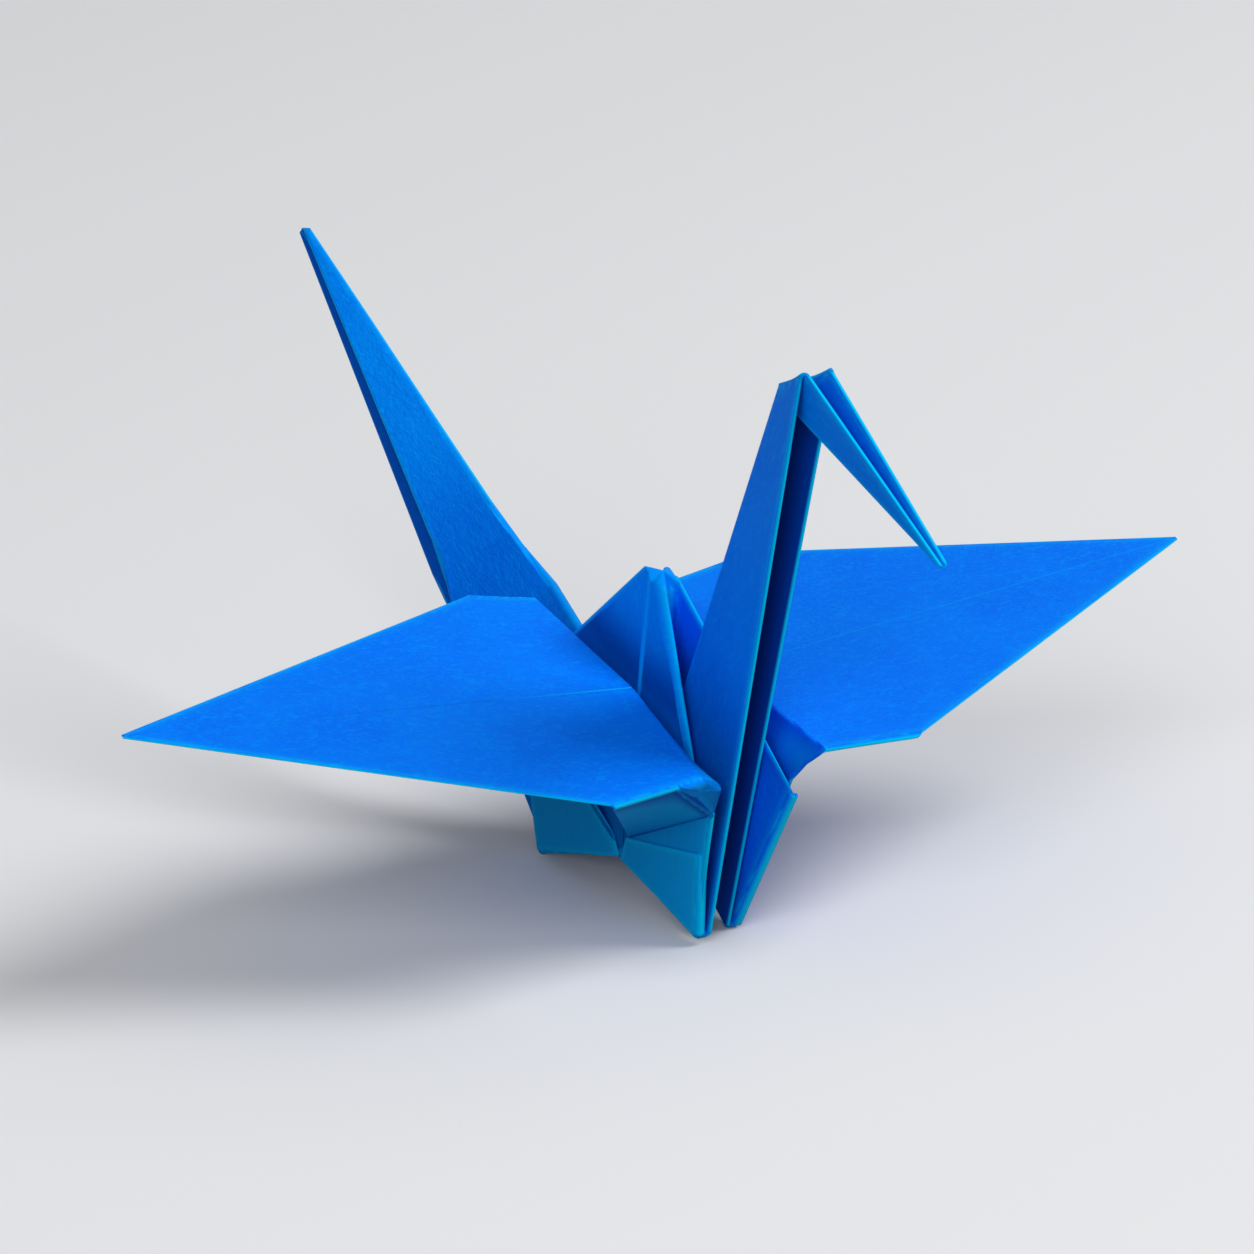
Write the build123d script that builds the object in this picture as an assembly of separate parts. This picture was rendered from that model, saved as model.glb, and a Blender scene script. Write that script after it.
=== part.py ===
from build123d import *
import os
from math import acos, cos, radians, sin, sqrt, tan

os.makedirs("parts", exist_ok=True)

# The crane is one sheet. Its creases are laid out in flat folded coordinates: u runs to the front,
# y runs up from the neck corner of the sheet (-1) to its centre (0) and on to the wing tip.
# Every piece of paper between creases is a facet. Neighbouring facets are joined by a bent strip
# along their crease, and by a small cap where several creases meet, so the sheet is unbroken.

# Sheet
square_side = 150.0
paper = 0.10  # thickness
flank_pitch = 0.14  # from one layer to the next in the body and wings
neck_pitch = 0.12  # the same in the neck, head and tail
unit = square_side / sqrt(2)  # half the diagonal of the sheet
narrowing = 0.185  # slope of the crease that narrows the neck and tail
flap_gap = 0.006  # from the middle line of the flank to its folded flaps

# Body
body_pitch = 6.75  # the body leans forward by this
hinge_lift = 23.1  # height of the middle of a wing hinge
hinge_level = -0.107  # where the hinge crosses the flat folded sheet
hinge_half = 6.4  # half the distance between the wing hinges
flank_taper = 4.3  # each flank leans in towards its foot by this
flank_turn = 6.5  # the flanks come together towards the neck by this
front_foot = -0.318  # flat height of the front foot crease at its outer end
back_foot = -0.352
back_foot_spread = 0.011  # the back feet stand a little further out along the flank
crown_right = 1.45  # the flat top of the hump reaches this far to the right
crown_left = 1.0
crown_back = 4.0
crown_lift = 34.4
crown_fall = 0.45  # it is this much lower on the left
crown_sag = 0.15
ridge_ahead = 0.9  # the front ridges begin this much ahead of the crown
ridge_fall = 0.3
gusset_ahead = 1.1  # and the folds between them a little further on
gusset_fall = 0.7
gusset_behind = 0.5  # the back ones stand this much behind the crown
hump_dent = 0.7  # the crease down each hump face lies this far inward
pocket_reach = 0.7  # the flap's fold ends this far along the front edge of the wing
pocket_depth = 0.8  # the tucked corner of each flap lies this much deeper
pocket_out = 0.5
ridge_setback = 0.018  # the inner layers stop short of the front and back rims

# Wings
wing_rise_right = 4.9  # each wing tip is lifted by this
wing_rise_left = 3.6
wing_lean_right = 14.8  # the front edge is lower than the back edge by this
wing_lean_left = 7.8
wing_sweep = 3.1  # the wing tips point back by this
hinge_inset = 0.5  # the soft bend takes this much of the wing
hinge_drop = 3.6  # and this much of the flank
overhang = 1.4  # the wing reaches this much further in than the flank
tip_right = 0.5  # each tip reaches this much past the even fold
tip_left = 0.9

# Neck and head, as distances to the front of the middle and above the feet
neck_root = (-4.1, 9.2)
head_spine = (17.6, 60.3)
beak_spine = (16.7, 59.0)
head_rim = (23.4, 63.4)
beak_tip = (47.6, 50.8)
neck_root_half = 0.62
foot_half = 1.98
head_spine_half = 0.92
head_rim_half = 2.0
beak_half = 0.9

# Tail, as distances to the back of the middle and above the feet
tail_root = (1.5, 13.3)
tail_tip = (82.0, 49.0)
tail_free = 55.0  # length of the straight free end
tail_slope_right = 0.151  # width of each half of the tail for its length
tail_slope_left = 0.193
tail_roll_right = 60.0  # the right half is turned out from hanging straight down
tail_roll_left = 32.0  # the left half is turned under the right one
tail_half = 0.5
tail_under = 0.7  # the left half hangs this much below the right one
soft_turn = 6.0  # the twist between base and blade is spread over this much of both

# Bends
rim_steps = 4
hinge_steps = 6
rim_reach = 0.9  # the longest pull on a bend
hinge_reach = 0.6
twist_reach = 5.0

# How far a facet ends before its crease, where the round of the fold begins
flat_crease = 0.12
face_crease = 0.15
deep_crease = 0.8
ridge_crease = 0.35
gusset_crease = 0.5
spine_crease = 0.6
beak_crease = 0.18
flap_crease = 0.2
web_crease = 0.3


def lerp(a, b, t):
    return a + (b - a) * t


def rim_u(y):
    return narrowing * (y + 1)


# Points of the flat folded sheet
tip_y = sqrt(2) - 1
petal_y = 1 / sqrt(2) - 1
shoulder_y = (tip_y * tip_y - narrowing) / (narrowing + tip_y)
ridge_u = narrowing / (1 + narrowing)
flap_y = sqrt(2 - sqrt(2)) - 1
flat = {
    "S": (ridge_u, -ridge_u),
    "Pf": (flap_gap, flap_y),
    "Q": (rim_u(petal_y), petal_y),
    "R": (rim_u(shoulder_y), shoulder_y),
    "X2": (rim_u(hinge_level), hinge_level),
    "Hc": (0.0, hinge_level),
    "H0": (0.0, hinge_level),
    "M0": (0.0, petal_y),
    "M": (0.0, petal_y),
    "Sc": (0.0, -ridge_u),
}
cross_t = (hinge_level - shoulder_y) / (flap_y - shoulder_y)
flat["X1"] = (lerp(flat["R"][0], flap_gap, cross_t), hinge_level)
wing_level = hinge_level - overhang / unit
back_corner = (rim_u(back_foot) + back_foot_spread, back_foot)

# The four quarters were not pressed alike. These creases lie elsewhere in them: side, then forward.
shifted = {
    (-1, 1): {
        "S": (0.124, -0.222),
        "Q": (0.1225, petal_y),
        "Pf": (0.009, -0.262),
        "T": (0.1235, front_foot),
        "X2": (0.157, hinge_level),
        "Y": (0.137, -0.172),
        "R": (0.173, -0.008),
        "J2": (0.1475, wing_level),
    },
    (-1, -1): {
        "S": (0.170, -0.180),
        "Q": (0.144, petal_y),
        "Pf": (0.010, -0.276),
        "Y": (0.150, -0.175),
        "T": back_corner,
        "X2": (0.160, hinge_level),
        "R": (0.167, -0.021),
        "J2": (0.153, -0.092),
    },
    (1, 1): {
        "S": (0.167, -0.149),
        "Q": (0.1145, petal_y),
        "T": (0.1023, -0.3275),
        "R": (0.1846, -0.0196),
        "J1": (0.112, wing_level),
        "J2": (0.1644, wing_level),
    },
    (1, -1): {
        "S": (ridge_u - ridge_setback, -ridge_u),
        "T": back_corner,
        "R": (0.172, 0.036),
        "J1": (0.112, wing_level),
        "J2": (0.162, -0.100),
    },
}


def quarter_point(name, side, forward):
    """Flat place of a crease point in one quarter of the sheet."""
    if name == "A":
        return 0.0, tip_y + (tip_right if side < 0 else tip_left) / unit
    if name == "Jc":
        return 0.0, wing_level
    places = shifted[(side, forward)]
    if name == "Z":
        r, j = places["R"], places["J2"]
        return lerp(r[0], j[0], pocket_reach), lerp(r[1], j[1], pocket_reach)
    return places[name] if name in places else flat[name]


def leaned(x, forward, up):
    turn = radians(body_pitch)
    return Vector(x, -forward * cos(turn) - up * sin(turn),
                  hinge_lift - forward * sin(turn) + up * cos(turn))


def flank(side, forward, u, y):
    down = (hinge_level - y) * unit
    out = hinge_half - down * sin(radians(flank_taper)) - forward * u * unit * sin(radians(flank_turn))
    ahead = forward * u * unit * cos(radians(flank_turn))
    return leaned(side * out, ahead, -down * cos(radians(flank_taper)))


def wing_frame(side):
    rise = radians(wing_rise_right if side < 0 else wing_rise_left)
    lean = radians(wing_lean_right if side < 0 else wing_lean_left)
    sweep = radians(side * wing_sweep)
    out = Vector(side * cos(rise), -sin(rise) * sin(lean), sin(rise) * cos(lean))
    ahead = Vector(0, -cos(lean), -sin(lean))
    turned = []
    for v in (out, ahead):
        turned.append(Vector(v.X * cos(sweep) - v.Y * sin(sweep), v.X * sin(sweep) + v.Y * cos(sweep), v.Z))
    normal = turned[0].cross(turned[1]).normalized()
    if normal.Z < 0:
        normal = normal * -1
    return turned[0], turned[1], normal


def wing(side, forward, u, y):
    out, ahead, normal = wing_frame(side)
    hinge = Vector(side * hinge_half, 0, hinge_lift)
    return hinge + out * ((y - hinge_level) * unit) + ahead * (forward * u * unit)


def tail_frame(side):
    axis = Vector(0, tail_tip[0] - tail_root[0], tail_tip[1] - tail_root[1]).normalized()
    hang = Vector(0, axis.Z, -axis.Y)
    roll = radians(tail_roll_right if side < 0 else tail_roll_left)
    rim = hang * cos(roll) + Vector(-1, 0, 0) * sin(roll)
    outward = axis.cross(rim) * (1 if side < 0 else -1)
    return axis, rim, outward.normalized()


def region_point(region, side, forward, name, layer):
    """Place one named crease point on one layer of one region of the crane."""
    inward = Vector(-side, 0, 0)
    if region == "flank":
        u, y = quarter_point(name, side, forward)
        return flank(side, forward, u, y) + inward * (layer * flank_pitch)
    if region == "wing":
        u, y = quarter_point(name, side, forward)
        return wing(side, forward, u, y) + wing_frame(side)[2] * (layer * flank_pitch)
    if region == "web":
        if name in ("Pf", "Y"):
            return region_point("flank", side, forward, name, layer)
        return region_point("wing", side, forward, name, layer - 2)
    if region == "tuck":
        if name == "X2":
            corner = region_point("wing", side, forward, "J2", layer - 3)
            return corner - inward * pocket_out - Vector(0, 0, pocket_depth)
        if name == "Y":
            return region_point("flank", side, forward, name, layer)
        return region_point("wing", side, forward, name, layer - 2) + inward * pocket_depth
    crown = Vector(-crown_right, crown_back, crown_lift)
    if side > 0:
        crown = Vector(crown_left, crown_back, crown_lift - crown_fall)
    if forward > 0:
        crown = crown - Vector(0, ridge_ahead, ridge_fall)
    if region == "hump":
        if name == "C":
            return crown
        if name == "Sc":
            return region_point("flank", side, forward, "Sc", 6) + inward * hump_dent
        return region_point("flank", side, forward, name, 6)
    if region == "gusset":
        if name == "C":
            if forward < 0:
                return Vector(crown.X * 0.7, crown.Y + gusset_behind, crown.Z)
            return Vector(crown.X * 0.5, crown.Y - gusset_ahead, crown.Z - gusset_fall)
        if name == "M":
            root = neck_root if forward > 0 else (-tail_root[0], tail_root[1])
            half = neck_root_half + neck_pitch
            return Vector(side * half, -root[0], root[1])
        return region_point("flank", side, forward, name, 7)
    step = inward * (layer * neck_pitch)
    if region in ("neck", "head"):
        spots = {
            "M": (neck_root_half, neck_root),
            "K0": (head_spine_half, head_spine),
            "K1": (head_rim_half, head_rim),
            "B": (beak_half, beak_tip),
        }
        if region == "head":
            spots["K0"] = (head_spine_half, beak_spine)
        if name == "T":
            foot = region_point("flank", side, 1, "T", 0)
            return Vector(side * foot_half, foot.Y, foot.Z) + step
        half, (ahead, up) = spots[name]
        return Vector(side * half, -ahead, up) + step
    axis, rim, outward = tail_frame(side)
    tip = Vector(0, tail_tip[0], tail_tip[1])
    if name == "M":
        return Vector(side * neck_root_half, tail_root[0], tail_root[1]) + step
    if name == "T":
        foot = region_point("flank", side, -1, "T", 7)
        return foot + inward * neck_pitch + step
    spine = tip - axis * tail_free
    bed = outward * (tail_half - layer * neck_pitch)
    if side > 0 and name != "V":
        bed = bed + rim * tail_under
    if name == "V":
        return spine + bed
    if name == "W":
        slope = tail_slope_right if side < 0 else tail_slope_left
        return spine + rim * (slope * tail_free) + bed
    return tip + bed


# The facets of one quarter of the sheet: region, layer, side shown outward, corners.
# A corner is the name of the crease point in the paper, and the place that it takes.
body_facets = [
    ("flank", 0, 1, [("S", "S"), ("Pf", "Pf"), ("N", "M"), ("T2", "T")]),
    ("flank", 1, -1, [("S", "S"), ("Pf", "Pf"), ("Q", "Q")]),
    ("flank", 6, 1, [("Sc", "Sc"), ("S", "S"), ("Q", "Q"), ("M0", "M0")]),
    ("hump", 6, 1, [("C", "C"), ("S", "S"), ("Sc", "Sc")]),
    ("gusset", 7, -1, [("C", "C"), ("S", "S"), ("T2", "T"), ("Ms", "M")]),
]
# Under the right wing the flap runs straight from the flank to the front edge of the wing,
# and its corner is tucked in under the hinge.
webbed_facets = [
    ("flank", 2, 1, [("Q", "Q"), ("Pf", "Pf"), ("Yw", "Y")]),
    ("flank", 3, -1, [("Yf", "Y"), ("Pf", "Pf"), ("N", "M"), ("T1", "T")]),
    ("flank", 4, 1, [("H0", "Hc"), ("X2f", "X2"), ("Yf", "Y"), ("T1", "T"), ("Mr", "M")]),
    ("flank", 5, -1, [("Hc", "Hc"), ("X2w", "X2"), ("Yw", "Y"), ("Q", "Q"), ("M0", "M0")]),
    ("web", 2, 1, [("Yw", "Y"), ("Pf", "Pf"), ("R", "R"), ("Zw", "Z")]),
    ("web", 3, -1, [("Yf", "Y"), ("Pf", "Pf"), ("R", "R"), ("Zf", "Z")]),
    ("tuck", 2, 1, [("Yw", "Y"), ("X2w", "X2"), ("Zw", "Z")]),
    ("tuck", 3, -1, [("Yf", "Y"), ("X2f", "X2"), ("Zf", "Z")]),
    ("wing", 2, -1, [("H0", "Jc"), ("X2f", "J2"), ("Zf", "Z"), ("R", "R"), ("A", "A")]),
    ("wing", 3, 1, [("Hc", "Jc"), ("X2w", "J2"), ("Zw", "Z"), ("R", "R"), ("A", "A")]),
]
# Under the left wing the flap is pressed flat against the wing.
pressed_facets = [
    ("flank", 2, 1, [("Q", "Q"), ("Pf", "Pf"), ("X1", "X1"), ("X2w", "X2")]),
    ("flank", 3, -1, [("X2f", "X2"), ("X1", "X1"), ("Pf", "Pf"), ("N", "M"), ("T1", "T")]),
    ("flank", 4, 1, [("H0", "Hc"), ("X2f", "X2"), ("T1", "T"), ("Mr", "M")]),
    ("flank", 5, -1, [("Hc", "Hc"), ("X2w", "X2"), ("Q", "Q"), ("M0", "M0")]),
    ("wing", 0, -1, [("X2w", "J2"), ("X1", "J1"), ("R", "R")]),
    ("wing", 1, 1, [("X2f", "J2"), ("X1", "J1"), ("R", "R")]),
    ("wing", 2, -1, [("H0", "Jc"), ("X2f", "J2"), ("R", "R"), ("A", "A")]),
    ("wing", 3, 1, [("Hc", "Jc"), ("X2w", "J2"), ("R", "R"), ("A", "A")]),
]
neck_facets = [
    ("neck", 0, 1, [("Ms", "M"), ("T2", "T"), ("K12", "K1"), ("K0", "K0")]),
    ("neck", 1, -1, [("Mr", "M"), ("T1", "T"), ("K11", "K1"), ("Kr", "K0")]),
    ("neck", 2, 1, [("N", "M"), ("T1", "T"), ("K11", "K1"), ("Kn", "K0")]),
    ("neck", 3, -1, [("N", "M"), ("T2", "T"), ("K12", "K1"), ("Kn", "K0")]),
    ("head", 4, 1, [("Kn", "K0"), ("K12", "K1"), ("B", "B")]),
    ("head", 5, -1, [("Kn", "K0"), ("K11", "K1"), ("B", "B")]),
    ("head", 6, 1, [("Kr", "K0"), ("K11", "K1"), ("B", "B")]),
    ("head", 7, -1, [("K0", "K0"), ("K12", "K1"), ("B", "B")]),
]
tail_facets = [
    ("tail", 0, 1, [("Ms", "M"), ("T2", "T"), ("K12", "W"), ("K0", "V")]),
    ("tail", 1, -1, [("Mr", "M"), ("T1", "T"), ("K11", "W"), ("Kr", "V")]),
    ("tail", 2, 1, [("N", "M"), ("T1", "T"), ("K11", "W"), ("Kn", "V")]),
    ("tail", 3, -1, [("N", "M"), ("T2", "T"), ("K12", "W"), ("Kn", "V")]),
    ("tail", 0, 1, [("K0", "V"), ("K12", "W"), ("B", "B")]),
    ("tail", 1, -1, [("Kr", "V"), ("K11", "W"), ("B", "B")]),
    ("tail", 2, 1, [("Kn", "V"), ("K11", "W"), ("B", "B")]),
    ("tail", 3, -1, [("Kn", "V"), ("K12", "W"), ("B", "B")]),
]


def inset_for(kind, a, b):
    """How far a facet ends before the crease between two named points."""
    pair = {a, b}
    rims = {"T2", "T1", "Q", "S", "R", "X2w", "X2f", "Yw", "Yf", "Zw", "Zf", "K12", "K11", "B"}
    raw = {"A", "H0", "Mr", "Kr", "B"}
    feet = {"T1", "T2"}
    if pair <= {"Hc", "H0", "X1", "X2w", "X2f"}:
        return hinge_inset if kind == "wing" else hinge_drop
    if pair in ({"Yw", "Zw"}, {"Yf", "Zf"}):
        return web_crease if kind == "web" else gusset_crease
    if "Pf" in pair and pair & {"Yw", "Yf"}:
        return flap_crease
    if kind == "tuck":
        return web_crease
    if kind == "web":
        return 1.5 * flank_pitch
    if kind == "wing":
        if pair == {"Hc", "A"} or pair <= raw:
            return flat_crease
        return 1.5 * flank_pitch
    if kind in ("flank", "hump", "gusset"):
        if pair == {"C", "S"}:
            return ridge_crease
        if pair == {"C", "Ms"}:
            return gusset_crease
        if pair in ({"C", "Sc"}, {"Sc", "M0"}, {"Hc", "M0"}):
            return face_crease
        if pair == {"S", "Sc"}:
            return deep_crease
        if pair <= raw:
            return flat_crease
        if pair & feet and pair & {"Mr", "N", "Ms"}:
            return 4 * flank_pitch
        if pair <= rims:
            return 3.5 * flank_pitch
        return 1.5 * flank_pitch if pair == {"N", "Pf"} else 0.7 * flank_pitch
    if pair & feet and pair & {"Mr", "N", "Ms"}:
        return 4 * flank_pitch
    if pair & {"K12", "K11"} and pair & {"K0", "Kn", "Kr"}:
        return 3.5 * neck_pitch if kind in ("neck", "head") else soft_turn
    if pair <= rims:
        return 1.6 * neck_pitch
    return beak_crease if kind == "head" else spine_crease


def named(point, side, forward):
    """Points of the paper that are shared between its quarters keep one name."""
    if point == "C":
        return "C"
    if point in ("Sc", "M0", "Hc", "A"):
        return point + ("r" if side < 0 else "l")
    if point in ("Ms", "K0", "B"):
        return point + ("f" if forward > 0 else "b")
    return point + ("r" if side < 0 else "l") + ("f" if forward > 0 else "b")


def polygon_normal(points):
    total = Vector(0, 0, 0)
    for i, p in enumerate(points):
        total = total + p.cross(points[(i + 1) % len(points)])
    return total.normalized()


def make_facet(kind, layer, shown, corners, side, forward):
    points = [region_point(kind, side, forward, place, layer) for name, place in corners]
    names = [named(name, side, forward) for name, place in corners]
    plain = [name for name, place in corners]
    outward = Vector(side, 0, 0)
    if kind == "wing":
        outward = wing_frame(side)[2]
    if kind == "web":
        outward = Vector(side, -0.3, -1)
    if kind == "tuck":
        outward = Vector(-side, -0.3, -0.3)
    if kind == "tail" and corners[0][1] == "V":
        outward = tail_frame(side)[2]
    if kind == "tail" and corners[0][1] == "M":
        outward = Vector(side, 0, 0) + tail_frame(side)[2]
    normal = polygon_normal(points)
    if normal.dot(outward) * shown < 0:
        points.reverse()
        names.reverse()
        plain.reverse()
        normal = normal * -1
    count = len(points)
    inner = []
    for i in range(count):
        before, here, after = points[i - 1], points[i], points[(i + 1) % count]
        d1 = inset_for(kind, plain[i - 1], plain[i])
        d2 = inset_for(kind, plain[i], plain[(i + 1) % count])
        e1 = (here - before).normalized()
        e2 = (after - here).normalized()
        n1 = normal.cross(e1).normalized()
        n2 = normal.cross(e2).normalized()
        lean = n1.dot(n2)
        share = max(1 - lean * lean, 0.02)
        if lean > 0.98:
            inner.append(here + n1 * ((d1 + d2) / 2))
        else:
            inner.append(here + n1 * ((d1 - d2 * lean) / share) + n2 * ((d2 - d1 * lean) / share))
    return {"names": names, "points": inner, "normal": normal, "kind": kind, "layer": layer, "side": side}


facets = []
for side in (-1, 1):
    for forward in (1, -1):
        quarter = body_facets + (webbed_facets if side < 0 else pressed_facets)
        quarter = quarter + (neck_facets if forward > 0 else tail_facets)
        for kind, layer, shown, corners in quarter:
            facets.append(make_facet(kind, layer, shown, corners, side, forward))

# The middle surface of the sheet, as a list of points and a list of polygons
mesh_points = []
mesh_faces = []


def add_point(p):
    mesh_points.append(p)
    return len(mesh_points) - 1


for facet in facets:
    facet["ids"] = [add_point(p) for p in facet["points"]]
    count = len(facet["ids"])
    for i in range(1, count - 1):
        mesh_faces.append((facet["ids"][0], facet["ids"][i], facet["ids"][i + 1]))

# Creases: each is an edge with the same two names on two facets
edges = {}
for number, facet in enumerate(facets):
    count = len(facet["names"])
    for i in range(count):
        key = frozenset((facet["names"][i], facet["names"][(i + 1) % count]))
        edges.setdefault(key, []).append((number, i))

strip_rows = {}


def bend(a, b, pull_a, pull_b, steps, reach):
    """Points of a round bend from a to b, leaving along pull_a and arriving against pull_b."""
    gap = (b - a).length
    turn = acos(max(-1.0, min(1.0, -pull_a.dot(pull_b))))
    if turn < 0.05:
        pull = gap / 3
    else:
        pull = gap * 4 / 3 * tan(turn / 4) / (2 * sin(turn / 2))
    pull = min(pull, reach)
    row = []
    for k in range(1, steps):
        t = k / steps
        s = 1 - t
        row.append(a * (s ** 3) + (a + pull_a * pull) * (3 * s * s * t)
                   + (b + pull_b * pull) * (3 * s * t * t) + b * (t ** 3))
    return row


def pull_of(facet, i):
    p = facet["points"][i]
    q = facet["points"][(i + 1) % len(facet["points"])]
    return (q - p).normalized().cross(facet["normal"]).normalized()


hinge_names = ("Hc", "H0", "X1", "X2")
for key, users in edges.items():
    if len(users) != 2:
        continue
    (na, ia), (nb, ib) = users
    fa, fb = facets[na], facets[nb]
    ca, cb = len(fa["ids"]), len(fb["ids"])
    p_name, q_name = fa["names"][ia], fa["names"][(ia + 1) % ca]
    if fb["names"][ib] != q_name:
        raise ValueError("the sheet turns over at " + p_name + " " + q_name)
    a_p, a_q = fa["ids"][ia], fa["ids"][(ia + 1) % ca]
    b_q, b_p = fb["ids"][ib], fb["ids"][(ib + 1) % cb]
    pull_a, pull_b = pull_of(fa, ia), pull_of(fb, ib)
    is_hinge = all(name.startswith(hinge_names) for name in (p_name, q_name))
    is_twist = fa["kind"] == fb["kind"] == "tail" and fa["layer"] == fb["layer"] and fa["side"] == fb["side"]
    steps = hinge_steps if is_hinge or is_twist else rim_steps
    reach = twist_reach if is_twist else hinge_reach if is_hinge else rim_reach
    rows = []
    for a, b in ((a_p, b_p), (a_q, b_q)):
        row = bend(mesh_points[a], mesh_points[b], pull_a, pull_b, steps, reach)
        rows.append([a] + [add_point(p) for p in row] + [b])
    strip_rows[(na, p_name, q_name)] = rows[0]
    strip_rows[(nb, q_name, p_name)] = list(reversed(rows[1]))
    strip_rows[("next", na, q_name, p_name)] = (nb, rows[1])
    strip_rows[("next", nb, p_name, q_name)] = (na, list(reversed(rows[0])))
    for k in range(steps):
        a0, a1, b0, b1 = rows[0][k], rows[0][k + 1], rows[1][k], rows[1][k + 1]
        mesh_faces.append((b0, a0, a1))
        mesh_faces.append((b0, a1, b1))

# Caps: walk round each crease point from facet to facet, and close the ring with a fan
around = {}
for number, facet in enumerate(facets):
    for i, name in enumerate(facet["names"]):
        around.setdefault(name, []).append((number, i))
for name, users in around.items():
    if len(users) < 3:
        continue
    start = users[0][0]
    ring = []
    corners = []
    middles = []
    number = start
    while True:
        facet = facets[number]
        i = facet["names"].index(name)
        other = facet["names"][(i + 1) % len(facet["names"])]
        key = (number, name, other)
        corners.append(facet["ids"][i])
        if key not in strip_rows:
            ring = None
            break
        row = strip_rows[key]
        ring.extend(row[:-1])
        middles.append(mesh_points[row[len(row) // 2]])
        nexts = [n for n, k in edges[frozenset((name, other))] if n != number]
        number = nexts[0]
        if number == start:
            break
    if ring is None:
        continue
    mean_corner = sum([mesh_points[c] for c in corners], Vector(0, 0, 0)) * (1 / len(corners))
    mean_middle = sum(middles, Vector(0, 0, 0)) * (1 / len(middles))
    hub = mean_middle * 1.5 - mean_corner * 0.5
    if name == "C":
        hub = Vector(hub.X, hub.Y, max(p.Z for p in middles) - crown_sag)
    hub = add_point(hub)
    for k in range(len(ring)):
        mesh_faces.append((ring[(k + 1) % len(ring)], ring[k], hub))

# Give the middle surface its thickness
normals = [Vector(0, 0, 0) for p in mesh_points]
for a, b, c in mesh_faces:
    area = (mesh_points[b] - mesh_points[a]).cross(mesh_points[c] - mesh_points[a])
    for k in (a, b, c):
        normals[k] = normals[k] + area
shown_side = []
back_side = []
for p, n in zip(mesh_points, normals):
    shown_side.append(p + n.normalized() * (paper / 2))
    back_side.append(p - n.normalized() * (paper / 2))

directed = {}
for a, b, c in mesh_faces:
    for pair in ((a, b), (b, c), (c, a)):
        if pair in directed:
            raise ValueError("an edge is used twice the same way")
        directed[pair] = True
walls = [pair for pair in directed if (pair[1], pair[0]) not in directed]


def triangle(a, b, c):
    return Face(Wire.make_polygon([a, b, c], close=True))


skin = []
for a, b, c in mesh_faces:
    skin.append(triangle(shown_side[a], shown_side[b], shown_side[c]))
    skin.append(triangle(back_side[c], back_side[b], back_side[a]))
for a, b in walls:
    skin.append(triangle(shown_side[b], shown_side[a], back_side[a]))
    skin.append(triangle(shown_side[b], back_side[a], back_side[b]))
sheet = Solid(Shell(skin))
if sheet.volume < 0:
    sheet = Solid(sheet.wrapped.Reversed())

box = sheet.bounding_box()
sheet = sheet.moved(Location((-(box.min.X + box.max.X) / 2, -(box.min.Y + box.max.Y) / 2, -box.min.Z)))
export_step(sheet, "parts/folded_sheet.step")
print("facets", len(facets), "triangles", len(skin), "volume", round(sheet.volume, 1))
print("size", box.size)
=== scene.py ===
import bmesh
import bpy
import numpy as np
from mathutils import Matrix


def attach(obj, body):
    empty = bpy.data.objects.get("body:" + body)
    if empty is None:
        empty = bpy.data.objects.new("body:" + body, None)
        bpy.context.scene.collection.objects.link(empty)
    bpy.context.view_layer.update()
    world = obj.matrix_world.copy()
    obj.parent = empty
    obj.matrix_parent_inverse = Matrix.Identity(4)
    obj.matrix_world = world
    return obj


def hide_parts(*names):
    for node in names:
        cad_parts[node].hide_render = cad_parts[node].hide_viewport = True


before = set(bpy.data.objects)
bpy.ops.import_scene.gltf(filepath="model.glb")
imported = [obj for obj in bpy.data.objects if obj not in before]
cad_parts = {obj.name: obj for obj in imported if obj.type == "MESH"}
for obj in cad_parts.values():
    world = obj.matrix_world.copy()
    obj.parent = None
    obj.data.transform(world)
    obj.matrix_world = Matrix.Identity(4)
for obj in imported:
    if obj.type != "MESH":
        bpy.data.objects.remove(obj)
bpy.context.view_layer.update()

# The square sheet, in millimetres. The folded layers lie a pitch apart.
sheet = {
    "squareSide": 150.0,
    "thickness": 0.10,
    "flankPitch": 0.14,
    "neckPitch": 0.12,
    "narrowing": 0.185,  # slope of the crease that narrows neck and tail
    "flapGap": 0.006,
    "cells": 15,  # grid cells along every side of a facet
    "rimSteps": 8,  # rows round a folded edge
    "capRings": 3,
    "capBulge": 0.5,  # a cap's hub lies this much further out than the middles of its folds
    "weld": 0.002,  # points of neighbouring patches that lie closer than this are one
    "sliver": 0.0005,
}
millimetre = 0.001

body = {
    "pitch": 6.75,  # degrees that the body leans forward
    "hingeLift": 23.1,
    "hingeLevel": -0.107,
    "hingeHalf": 6.4,
    "flankTaper": 4.3,
    "flankTurn": 6.5,
    "frontFoot": -0.318,
    "backFoot": -0.352,
    "backFootSpread": 0.011,
    "crownRight": 1.45,
    "crownLeft": 1.0,
    "crownBack": 4.0,
    "crownLift": 34.4,
    "crownSag": 0.15,
    "crownFall": 0.45,  # the crown is this much lower on the left
    "ridgeAhead": 0.9,  # the front ridges begin this much ahead of the crown
    "ridgeFall": 0.3,
    "gussetAhead": 1.1,  # and the folds between them a little further on
    "gussetFall": 0.7,
    "gussetBehind": 0.5,
    "gussetFrontShare": 0.5,  # these folds stand this far out, as a share of the crown's
    "gussetBackShare": 0.7,
    "humpDent": 0.7,
    "ridgeSetback": 0.018,
    "pocketReach": 0.7,  # the flap's fold ends this far along the front edge of the wing
    "pocketDepth": 0.8,  # the tucked corner of each flap lies this much deeper
    "pocketOut": 0.5,
}

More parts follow.
